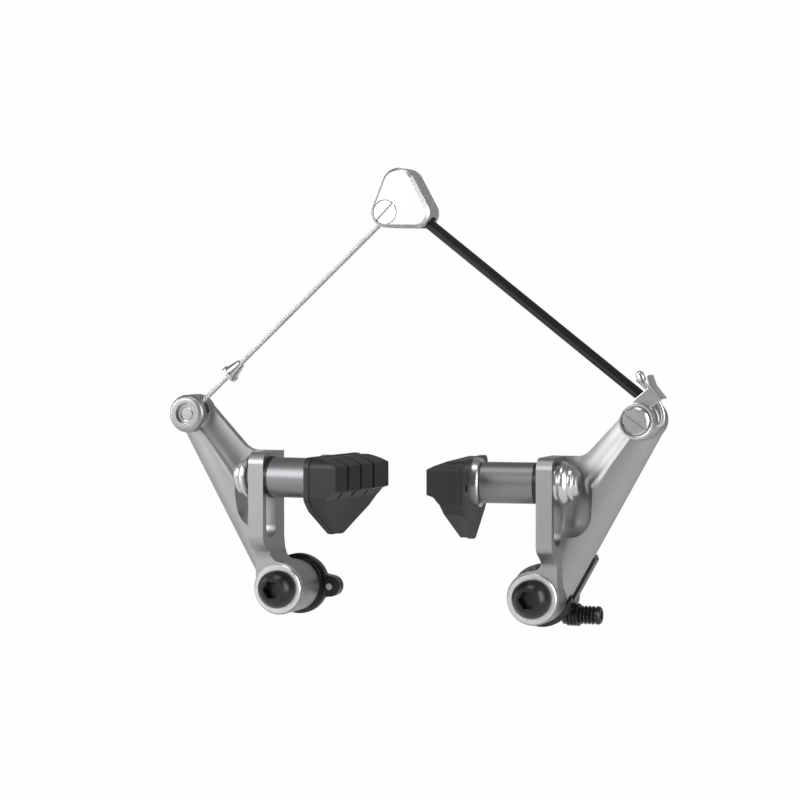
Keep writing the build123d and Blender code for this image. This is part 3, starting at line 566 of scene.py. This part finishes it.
def web_outline():
    """Tangent to the barrel and the boss outside, and to the boss and a round corner inside."""
    reach = math.hypot(BOSS[0] - UPPER[0], BOSS[1] - UPPER[1])
    rise = math.atan2(BOSS[1] - UPPER[1], BOSS[0] - UPPER[0]) + math.asin(BOSS_RADIUS / reach)
    touch = math.sqrt(reach**2 - BOSS_RADIUS**2)
    upper = (UPPER[0] + touch * math.cos(rise), UPPER[1] + touch * math.sin(rise))
    centre = (UPPER[0] - UPPER_ROUND * math.tan(rise / 2), UPPER[1] + UPPER_ROUND)
    corner = arc(centre, UPPER_ROUND, math.degrees(rise) - 90, -90, 9)
    outside = [(PLATE[0], 0), (0, -3), edge_low, edge_high, BOSS, upper]
    return outside + corner + [(PLATE[0], UPPER[1])]


def nose_section():
    """Room before the rolled edge, as (y, inward): the front follows one circle's arc."""
    inward = np.linspace(ROLL_WIDTH, ROLL_PAST, 24)
    front = ROLL_Y - np.sqrt(ROLL_RADIUS**2 - (inward - ROLL_WIDTH)**2)
    roll = np.column_stack([front, inward]).tolist()
    return [(BEFORE_ALL, -3), (BEFORE_ALL, ROLL_WIDTH)] + roll + [(front[-1], -3)]


def hollow_section():
    """Room of the hollow, as (y, inward): two arcs of one turn, out of the band and into the
    floor, whose radii together span the depth."""
    both = BAND_ROUND + FLOOR_ROUND
    turn = math.acos(1 - HOLLOW_DEPTH / both)
    out = np.linspace(0, turn, 10)
    band = np.column_stack([WEB_FRONT + BAND_ROUND * (1 - np.cos(out)), BAND_ROUND * np.sin(out)])
    down = np.linspace(turn, 0, 14)[1:]
    floor = np.column_stack([HOLLOW_FLOOR - FLOOR_ROUND * (1 - np.cos(down)),
                             both * math.sin(turn) - FLOOR_ROUND * np.sin(down)])
    far = [(HOLLOW_FLOOR, 50), (BEFORE_ALL, 50)]
    return [(BEFORE_ALL, 0)] + band.tolist() + floor.tolist() + far


def rounded(corners, steps=8):
    """Outline with an arc of its own radius at each corner; a radius of zero keeps it sharp."""
    outline = []
    for index, (corner, radius) in enumerate(corners):
        if not radius:
            outline.append(corner)
            continue
        here = np.array(corner, float)
        back = np.array(corners[index - 1][0], float) - here
        ahead = np.array(corners[(index + 1) % len(corners)][0], float) - here
        back /= np.linalg.norm(back)
        ahead /= np.linalg.norm(ahead)
        half = math.acos(back.dot(ahead)) / 2
        cut = radius / math.tan(half)
        bisector = (back + ahead) / np.linalg.norm(back + ahead)
        middle = here + bisector * radius / math.sin(half)
        first, last = here + back * cut - middle, here + ahead * cut - middle
        spokes = first + (last - first) * np.linspace(0, 1, steps)[:, None]
        spokes *= radius / np.linalg.norm(spokes, axis=1)[:, None]
        outline += (middle + spokes).tolist()
    return outline


def stadium(centre_y, low, high, radius):
    """Upright slot as (y, z) points: a half circle below and one above."""
    return arc((centre_y, low), radius, 180, 360, 24) + arc((centre_y, high), radius, 0, 180, 24)


def washer_path():
    """Room for the cup washer and nut along the slot: an upright rod with a round lower end."""
    down = np.linspace(0, math.pi / 2, 10)[:-1]
    ball = np.column_stack([np.cos(down), -np.sin(down)]) * PATH_RADIUS + (0, PATH_LOW)
    profile = [(AXIS_GAP, PATH_HIGH), (PATH_RADIUS, PATH_HIGH)] + ball.tolist()
    verts, faces = turned_about_y(profile + [(AXIS_GAP, PATH_LOW - PATH_RADIUS)], sides=72)
    return verts[:, [0, 2, 1]] + (PATH_OUT, POST_Y, 0), faces


def boss_profile():
    """Boss as (radius, y): a quarter round of 1.7 mm from its front face to its side."""
    turn = np.linspace(0.15, math.pi / 2, 8)
    face = BOSS_RADIUS - BOSS_ROUND
    nose = np.column_stack([np.sin(turn), -np.cos(turn)]) * BOSS_ROUND
    nose += (face, BOSS_FRONT + BOSS_ROUND)
    rear = [(BOSS_RADIUS, BOSS_REAR), (0.5, BOSS_REAR)]
    return [(0.5, BOSS_FRONT), (face, BOSS_FRONT)] + nose.tolist() + rear


def fork_outline():
    """Fan from the boss's axis, forty degrees to either side of the link wire's line."""
    rise, reach = WIRE_HEAD[2] - WIRE_FOOT[2], WIRE_HEAD[0] - WIRE_FOOT[0]
    middle = 180 - math.degrees(math.atan2(rise, reach))
    return [BOSS] + arc(BOSS, FORK_REACH, middle - 40, middle + 40, 3)


def arm_piece(side, node):
    """One arm, in its real order: web, hollow, plate, barrel, boss, bores and slot."""
    def cut(label, shape):
        return solid(label, *shape, side), "DIFFERENCE"

    def add(label, shape):
        return solid(label, *shape, side), "UNION"
    nose = between_planes(nose_section(), "X", -30, 90)
    hollow = between_planes(hollow_section(), "X", -60, 60)
    neck = [(NECK_INNER, 0), (NECK_INNER, NECK_CENTRE[1])]
    neck += arc(NECK_CENTRE, NECK_ROUND, -92, 0, 8)[::-1] + [(0, 0)]
    barrel = [(3, BARREL_FRONT), (BARREL, BARREL_FRONT), (BARREL, BARREL_REAR), (3, BARREL_REAR)]
    tools = [
        cut("nose", along(nose, edge_way, edge_low)),
        cut("hollow", along(hollow, scoop_way, SCOOP_LOW)),
        cut("washer_path", washer_path()),
        add("plate", between_planes(rounded(PLATE_CORNERS), "X", *PLATE)),
        add("flare", between_planes(neck, "Y", BARREL_FRONT, -8)),
        add("barrel", turned_about_y(barrel)),
        add("boss", turned_about_y(boss_profile(), BOSS)),
        cut("bore", between_planes(arc((0, 0), BUSH_BORE, 0, 354, 60), "Y", -22, -5)),
        cut("boss_bore", between_planes(arc(BOSS, BOSS_BORE, 0, 353, 48), "Y", -20, -7)),
        cut("slot", between_planes(stadium(POST_Y, SLOT_LOW, SLOT_HIGH, SLOT_RADIUS), "X", 1, 9))]
    if node == "left_arm":
        tools.append(cut("fork", between_planes(fork_outline(), "Y", FORK_FRONT, FORK_REAR)))
    web, _ = add("web", between_planes(web_outline(), "Y", WEB_FRONT, WEB_REAR))
    finished(combined(web, tools), node, blasted, ARM_BEVEL)


arm_piece(-1, "left_arm")
arm_piece(1, "right_arm")

# Pads and their washers: plated dome and cup washers about one ball centre, a flanged nut with a
# hexagon socket, a moulded backing plate and a grooved rubber block. They are drawn along the
# post from the middle of the slotted plate, and all but the dome washer are toed in with it.
PLATE_MIDDLE = (5.0, POST_Y, 33.65)
TOE = 6.0
DOME_BALL = 5.9
DOME_FACE = -2.42
DOME_RADIUS = 5.38
DOME_BORE = 4.3
DOME_BEVEL = 0.1
CUP_BALL = 6.05
CUP_BORE = 3.3
CUP_EDGE = 4.83
CUP_BEVEL = 0.12
CUP_PROFILE = [(-5.9, CUP_BORE), (-5.9, 5.3), (-5.5, 5.9), (-4.7, 6.4), (-4.4, 6.5),
               (-3.65, 6.5)]
NUT_PROFILE = [(-5.92, 2.3), (-5.92, 5.4), (-6.95, 5.4), (-7.42, 4.9), (-7.42, 4.0),
               (-8.1, 3.85), (-8.67, 3.2), (-8.67, 2.3)]
SOCKET_RADIUS = 2.89
SOCKET_FLOOR = -6.75
NUT_BORE = 3.1
NUT_BEVEL = 0.12
PAD_BACK = 22.3
RUBBER_BACK = 24.2
PAD_FRONT_END, PAD_REAR_END = -16.3, 18.5
PAD_TOP, PAD_LOW, WING_TIP = 6.8, -5.2, -15.0
BACKING_MARGIN = 0.3
BACKING_BEVEL = 0.3
RUBBER_BEVEL = 0.55
KEY_HOLE = (-11.0, -1.0)
KEY_RADIUS = 1.3
POST_SEAT = 3.05
HEAD_RADIUS = 5.25
HEAD_END = 26.05
FACE_SECTION = [(28.1, 6.5), (30.6, 5.6), (32.9, 4.5), (32.9, -2.8), (30.9, -3.5), (29.2, -5.6)]
GROOVES = (-8.4, 0, 8.4)
GROOVE_HALF = 0.5
GROOVE_DEPTH = 1.5


def turned_about_x(profile, sides=80):
    """Closed loop of (x, radius) points turned about the X axis."""
    verts, faces = turned_about_y([(r, x) for x, r in profile], sides=sides)
    return verts[:, [1, 0, 2]], faces


def on_post(label, shape, side, toe=TOE):
    """Solid laid along the post, turned by the toe about the middle of the slotted plate."""
    turn = math.radians(toe)
    x, y, z = shape[0].T
    out = PLATE_MIDDLE[0] - math.cos(turn) * x - math.sin(turn) * y
    back = PLATE_MIDDLE[1] - math.sin(turn) * x + math.cos(turn) * y
    return solid(label, np.column_stack([out, back, PLATE_MIDDLE[2] + z]), shape[1], side)


def ball_arc(radius, first, last):
    """Points (x, r) on a ball: x is minus the root of the ball's radius squared less r squared."""
    r = np.linspace(first, last, 8)
    return np.column_stack([-np.sqrt(radius**2 - r**2), r]).tolist()


def disc(radius, stop, steps, low, high, centre=(0, 0)):
    """Round cutter along the post, between two places on it."""
    return between_planes(arc(centre, radius, 0, stop, steps), "X", low, high)


def pad_side_view(margin):
    """Boat-shaped outline as (y, z) points: a flat top, round upper ends and a pointed wing."""
    front, rear = PAD_FRONT_END - margin, PAD_REAR_END + margin
    top, low, tip = PAD_TOP + margin, PAD_LOW - margin, WING_TIP - margin - 1.2
    return rounded([((front, top), 3.0), ((front, low), 2.2), ((-13.5, -8.6 - margin), 3.0),
                    ((-1.2, tip), 1.9), ((1.6, tip), 1.9), ((14.5, -8.6 - margin), 3.0),
                    ((rear, low), 2.2), ((rear, top), 3.0)], 6)


dome_profile = [(DOME_FACE, DOME_BORE), (DOME_FACE, DOME_RADIUS)]
dome_profile += ball_arc(DOME_BALL, DOME_RADIUS, DOME_BORE)[1:]
cup_profile = CUP_PROFILE + ball_arc(CUP_BALL, CUP_EDGE, CUP_BORE)
rubber_section = [(RUBBER_BACK, 9), (25.0, 7.7)] + FACE_SECTION + [(26.0, -17), (RUBBER_BACK, -17)]
groove = [(x - GROOVE_DEPTH, z - 0.9 * (z > 0) + 0.5 * (z < 0)) for x, z in FACE_SECTION]
groove += [(40, groove[-1][1]), (40, 12), (groove[0][0], 12)]
for side, name in ((-1, "left"), (1, "right")):
    dome = on_post("dome", turned_about_x(dome_profile), side, 0)
    finished(combined(dome), f"{name}_outer_dome_washer", plated, DOME_BEVEL)
    cup = on_post("cup", turned_about_x(cup_profile), side)
    finished(combined(cup), f"{name}_cup_washer", plated, CUP_BEVEL)
    nut = on_post("nut", turned_about_x(NUT_PROFILE), side)
    socket = on_post("socket", disc(SOCKET_RADIUS, 300, 6, -9, SOCKET_FLOOR), side)
    bore = on_post("bore", disc(NUT_BORE, 352, 46, SOCKET_FLOOR - 0.01, -5.5), side)
    nut_mesh = combined(nut, [(socket, "DIFFERENCE"), (bore, "DIFFERENCE")])
    finished(nut_mesh, f"{name}_pad_nut", plated, NUT_BEVEL)
    plate_shape = between_planes(pad_side_view(BACKING_MARGIN), "X", PAD_BACK, RUBBER_BACK)
    plate = on_post("backing", plate_shape, side)
    hole = on_post("hole", disc(KEY_RADIUS, 345, 24, 20, 30, KEY_HOLE), side)
    seat = on_post("seat", disc(POST_SEAT, 352, 46, 20, 30), side)
    plate_mesh = combined(plate, [(hole, "DIFFERENCE"), (seat, "DIFFERENCE")])
    finished(plate_mesh, f"{name}_pad_backing", backing, BACKING_BEVEL)
    block = on_post("rubber", between_planes(rubber_section, "Y", -30, 30), side)
    side_view = between_planes(pad_side_view(0), "X", RUBBER_BACK, 40)
    tools = [(on_post("view", side_view, side), "INTERSECT")]
    for place in GROOVES:
        slit = between_planes(groove, "Y", place - GROOVE_HALF, place + GROOVE_HALF)
        tools.append((on_post("groove", slit, side), "DIFFERENCE"))
    head_room = disc(HEAD_RADIUS, 352, 46, 23, HEAD_END)
    tools.append((on_post("head", head_room, side), "DIFFERENCE"))
    finished(combined(block, tools), f"{name}_pad_rubber", rubber, RUBBER_BEVEL)

# Right spring housing: a black moulded cup behind the arm with an open collar round the barrel,
# a tongue behind the web's edge, and the ribbed boss that the black tension screw is turned into.
SCREW_PLACE = (0, -4.7, -6.0)
CUP_WALL = [(7.6, -5.8), (7.6, -1.8), (9.0, -1.8), (9.0, -4.2), (8.9, -6.8), (7.93, -6.8),
            (5.3, -6.8), (5.3, -5.8)]
COLLAR_WALL = [(7.93, -11.8), (9.25, -11.6), (9.25, -6.7), (7.93, -6.7)]
COLLAR_ROOM = 7.93
CUP_ROOM = 7.58
CUP_FLOOR = -5.8
BLOCK = [(-1.8, -8.8), (7.2, -8.8), (7.2, -2.4), (-1.8, -2.4)]
TONGUE = np.array([(0, -0.8), (17.0, -0.8), (18.0, 0.4), (17.0, 2.2), (0, 2.2)])
TONGUE_FRONT, TONGUE_REAR = -9.45, -5.5
RIBS = 4
HOUSING_BEVEL = 0.15
SCREW_BEVEL = 0.1
BOSS_END = 9.9
BOSS_WALL = 2.9
SCREW_ROOM = [(7.3, AXIS_GAP), (7.3, 2.05), (12, 2.05), (12, AXIS_GAP)]
RIB_PITCH = 1.15


def at_screw(label, profile):
    """Solid turned about the tension screw's axis, which lies along X."""
    verts, faces = turned_about_x(profile, 48)
    return solid(label, verts + SCREW_PLACE, faces, 1)


cup = solid("cup", *turned_about_y(CUP_WALL), 1)
collar = solid("collar", *turned_about_y(COLLAR_WALL), 1)
start = (edge_low[0] * 1.004, edge_low[1] * 1.004)
beyond = (start[0] + 30 * math.cos(edge_way), start[1] + 30 * math.sin(edge_way))
away = between_planes([(-0.45, 0), start, beyond, (-0.45, 30)], "Y", -13, -6.7)
tongue = between_planes(np.column_stack([
    edge_low[0] + TONGUE[:, 0] * math.cos(edge_way) - TONGUE[:, 1] * math.sin(edge_way),
    edge_low[1] + TONGUE[:, 0] * math.sin(edge_way) + TONGUE[:, 1] * math.cos(edge_way)]),
    "Y", TONGUE_FRONT, TONGUE_REAR)
ribs = [(5.0, 2.2), (5.0, BOSS_WALL)]
for rib in range(RIBS):
    ribs += [(6.1 + rib, BOSS_WALL), (6.3 + rib, 3.35), (6.75 + rib, 3.35),
             (6.95 + rib, BOSS_WALL)]
ribs += [(BOSS_END, BOSS_WALL), (BOSS_END, 2.2)]
rib_verts, rib_faces = turned_about_x(ribs, 48)
rib_verts[:, 1] = np.minimum(rib_verts[:, 1], BOSS_WALL)
collar_room = between_planes(arc((0, 0), COLLAR_ROOM, 0, 355, 72), "Y", -20, -6.8)
cup_room = between_planes(arc((0, 0), CUP_ROOM, 0, 355, 72), "Y", CUP_FLOOR, 0)
housing = combined(cup, [
    (collar, "UNION"),
    (solid("away", *away, 1), "DIFFERENCE"),
    (solid("block", *between_planes(BLOCK, "Y", -7.6, -1.8), 1), "UNION"),
    (solid("tongue", *tongue, 1), "UNION"),
    (solid("room", *collar_room, 1), "DIFFERENCE"),
    (solid("inside", *cup_room, 1), "DIFFERENCE"),
    (solid("ribbed", rib_verts + SCREW_PLACE, rib_faces, 1), "UNION"),
    (at_screw("screw_room", SCREW_ROOM), "DIFFERENCE")])
finished(housing, "right_spring_housing", black_moulding, HOUSING_BEVEL)
screw = [(7.4, 0.2), (7.4, 2.0), (9.95, 2.0)]
for rib in range(RIBS):
    left = 10.0 + rib * RIB_PITCH
    screw += [(left, 2.0), (left + 0.35, 2.75), (left + 0.7, 2.75), (left + 1.05, 2.0)]
screw += [(14.7, 2.0), (15.0, 2.7), (15.9, 2.7), (16.4, 2.2), (16.4, 1.3), (14.9, 1.2),
          (14.9, 0.2)]
finished(combined(at_screw("screw", screw)), "spring_adjusting_screw", black_moulding,
         SCREW_BEVEL)
